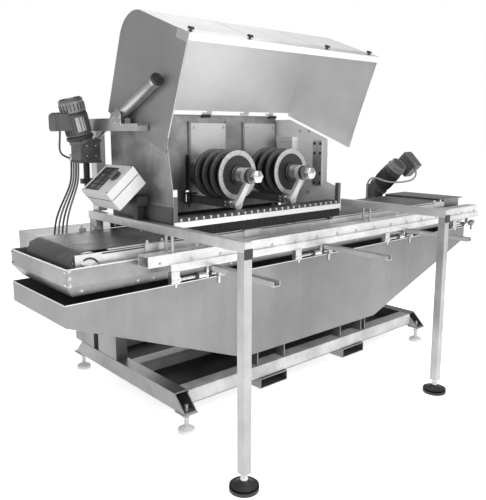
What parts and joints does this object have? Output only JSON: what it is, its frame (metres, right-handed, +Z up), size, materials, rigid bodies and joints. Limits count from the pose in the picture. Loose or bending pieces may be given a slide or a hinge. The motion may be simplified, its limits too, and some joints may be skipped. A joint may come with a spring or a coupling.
{
  "type": "belt-fed stone grinding machine",
  "caption": "Long conveyor-belt stone grinding machine with multi-wheel arbors under a hinged hood, water sump and levelling feet.",
  "frame": {"origin": "on the floor under the middle of the overall bounding box", "axes": "+X along the belt from the controls end to the drive end, +Y to the rear cabinet, +Z up"},
  "size_m": [3.17, 1.7079, 1.9832],
  "materials": {
    "galvanised_steel": "mottled galvanised and matt stainless sheet",
    "stainless_sheet": "satin stainless sheet with water streaks",
    "painted_base": "grey zinc paint, satin",
    "machined_steel": "turned bright steel",
    "black_plastic": "moulded black nylon",
    "motor_casting": "dark grey enamel on castings",
    "dark_steel": "blackened steel, semi-matt",
    "abrasive_wheel": "segmented diamond rim on a steel core",
    "cylinder_aluminium": "anodised aluminium tube",
    "white_enclosure": "white powder-coated enclosure",
    "belt_rubber": "worn textured conveyor rubber",
    "curtain_rubber": "black splash rubber",
    "cable_sheath": "grey rubber sheath"
  },
  "bodies": {
    "frame": {"arm_posts": "galvanised_steel", "balance_cylinder": "cylinder_aluminium", "base_cross_beams": "painted_base", "base_foot_pads": "black_plastic", "base_side_beams": "painted_base", "belt_frame": "galvanised_steel", "bundle_cable_1": "cable_sheath", "bundle_cable_2": "cable_sheath", "bundle_cable_3": "cable_sheath", "bundle_cable_4": "cable_sheath", "carriage_guides": "galvanised_steel", "clamp_bars": "machined_steel", "control_box": "white_enclosure", "control_bracket": "dark_steel", "conveyor_belt": "belt_rubber", "cross_arms": "galvanised_steel", "drive_gearmotor": "motor_casting", "drive_motor_cable": "cable_sheath", "end_cover_plate": "galvanised_steel", "fork_pockets": "painted_base", "front_legs": "galvanised_steel", "hinge_wall_leaves": "galvanised_steel", "housing_brackets": "galvanised_steel", "housing_left_wall": "galvanised_steel", "housing_rear_wall": "galvanised_steel", "housing_right_wall": "galvanised_steel", "housing_sill": "galvanised_steel", "leg_foot_pads": "black_plastic", "levelling_spindles": "machined_steel", "lift_gearmotor": "motor_casting", "lift_motor_cable": "cable_sheath", "lift_stand": "galvanised_steel", "outrigger_channels": "galvanised_steel", "pan_support_ribs": "painted_base", "rear_cabinet": "stainless_sheet", "rear_columns": "stainless_sheet", "rubber_curtain": "curtain_rubber", "side_rails": "galvanised_steel", "sump_floor_sheet": "stainless_sheet", "sump_side_plates": "stainless_sheet", "tray_walls": "galvanised_steel"},
    "hood": {"hood_skin": "galvanised_steel", "hood_side_plates": "galvanised_steel", "hinge_hood_leaves": "galvanised_steel"},
    "head": {"head_frame": "dark_steel", "carriage_plates": "galvanised_steel", "spindle_units": "motor_casting", "support_arms": "dark_steel"},
    "left_arbor": {"arbor_left": "machined_steel", "grinding_wheels_left": "abrasive_wheel"},
    "right_arbor": {"arbor_right": "machined_steel", "grinding_wheels_right": "abrasive_wheel"},
    "drive_roller": {"drive_roller": "machined_steel"},
    "tail_roller": {"tail_roller": "machined_steel"},
    "clamp_lever_1": {"clamp_lever_1": "dark_steel"},
    "clamp_lever_2": {"clamp_lever_2": "dark_steel"},
    "clamp_lever_3": {"clamp_lever_3": "dark_steel"},
    "clamp_lever_4": {"clamp_lever_4": "dark_steel"},
    "isolator_knob": {"isolator_knob": "black_plastic"},
    "balance_rod": {"balance_rod": "machined_steel"}
  },
  "joints": [
    {"name": "hood_hinge", "type": "hinge", "parent": "frame", "child": "hood", "pos_m": [-0.445, 0.268, 1.538], "axis": [1, 0, 0], "range_deg": [0, 62]},
    {"name": "head_lift", "type": "slide", "parent": "frame", "child": "head", "axis": [0, 0, 1], "range_m": [-0.088, 0]},
    {"name": "left_arbor_spin", "type": "hinge", "parent": "head", "child": "left_arbor", "pos_m": [-0.532, 0.1, 1.212], "axis": [0, 1, 0], "continuous": true},
    {"name": "right_arbor_spin", "type": "hinge", "parent": "head", "child": "right_arbor", "pos_m": [-0.134, 0.1, 1.212], "axis": [0, 1, 0], "continuous": true},
    {"name": "drive_roller_spin", "type": "hinge", "parent": "frame", "child": "drive_roller", "pos_m": [1.45, 0.031, 0.868], "axis": [0, 1, 0], "continuous": true},
    {"name": "tail_roller_spin", "type": "hinge", "parent": "frame", "child": "tail_roller", "pos_m": [-1.462, 0.031, 0.868], "axis": [0, 1, 0], "continuous": true},
    {"name": "clamp_lever_1_pivot", "type": "hinge", "parent": "frame", "child": "clamp_lever_1", "pos_m": [-0.864, -0.334, 0.788], "axis": [-1, 0, 0], "range_deg": [0, 85]},
    {"name": "clamp_lever_2_pivot", "type": "hinge", "parent": "frame", "child": "clamp_lever_2", "pos_m": [-0.079, -0.334, 0.788], "axis": [-1, 0, 0], "range_deg": [0, 85]},
    {"name": "clamp_lever_3_pivot", "type": "hinge", "parent": "frame", "child": "clamp_lever_3", "pos_m": [0.706, -0.334, 0.788], "axis": [-1, 0, 0], "range_deg": [0, 85]},
    {"name": "clamp_lever_4_pivot", "type": "hinge", "parent": "frame", "child": "clamp_lever_4", "pos_m": [1.491, -0.334, 0.788], "axis": [-1, 0, 0], "range_deg": [0, 85]},
    {"name": "isolator_knob_turn", "type": "hinge", "parent": "frame", "child": "isolator_knob", "pos_m": [-1.22335, -0.042, 1.23387], "axis": [-0.6428, 0, 0.766], "range_deg": [0, 90]},
    {"name": "balance_rod_slide", "type": "slide", "parent": "frame", "child": "balance_rod", "axis": [0, 0.9063, -0.4226], "range_m": [0, 0.0645]}
  ],
  "couplings": [
    {"joint": "tail_roller_spin", "follows": "drive_roller_spin", "ratio": 1},
    {"joint": "balance_rod_slide", "follows": "hood_hinge", "m_per_rad": 0.0573}
  ]
}
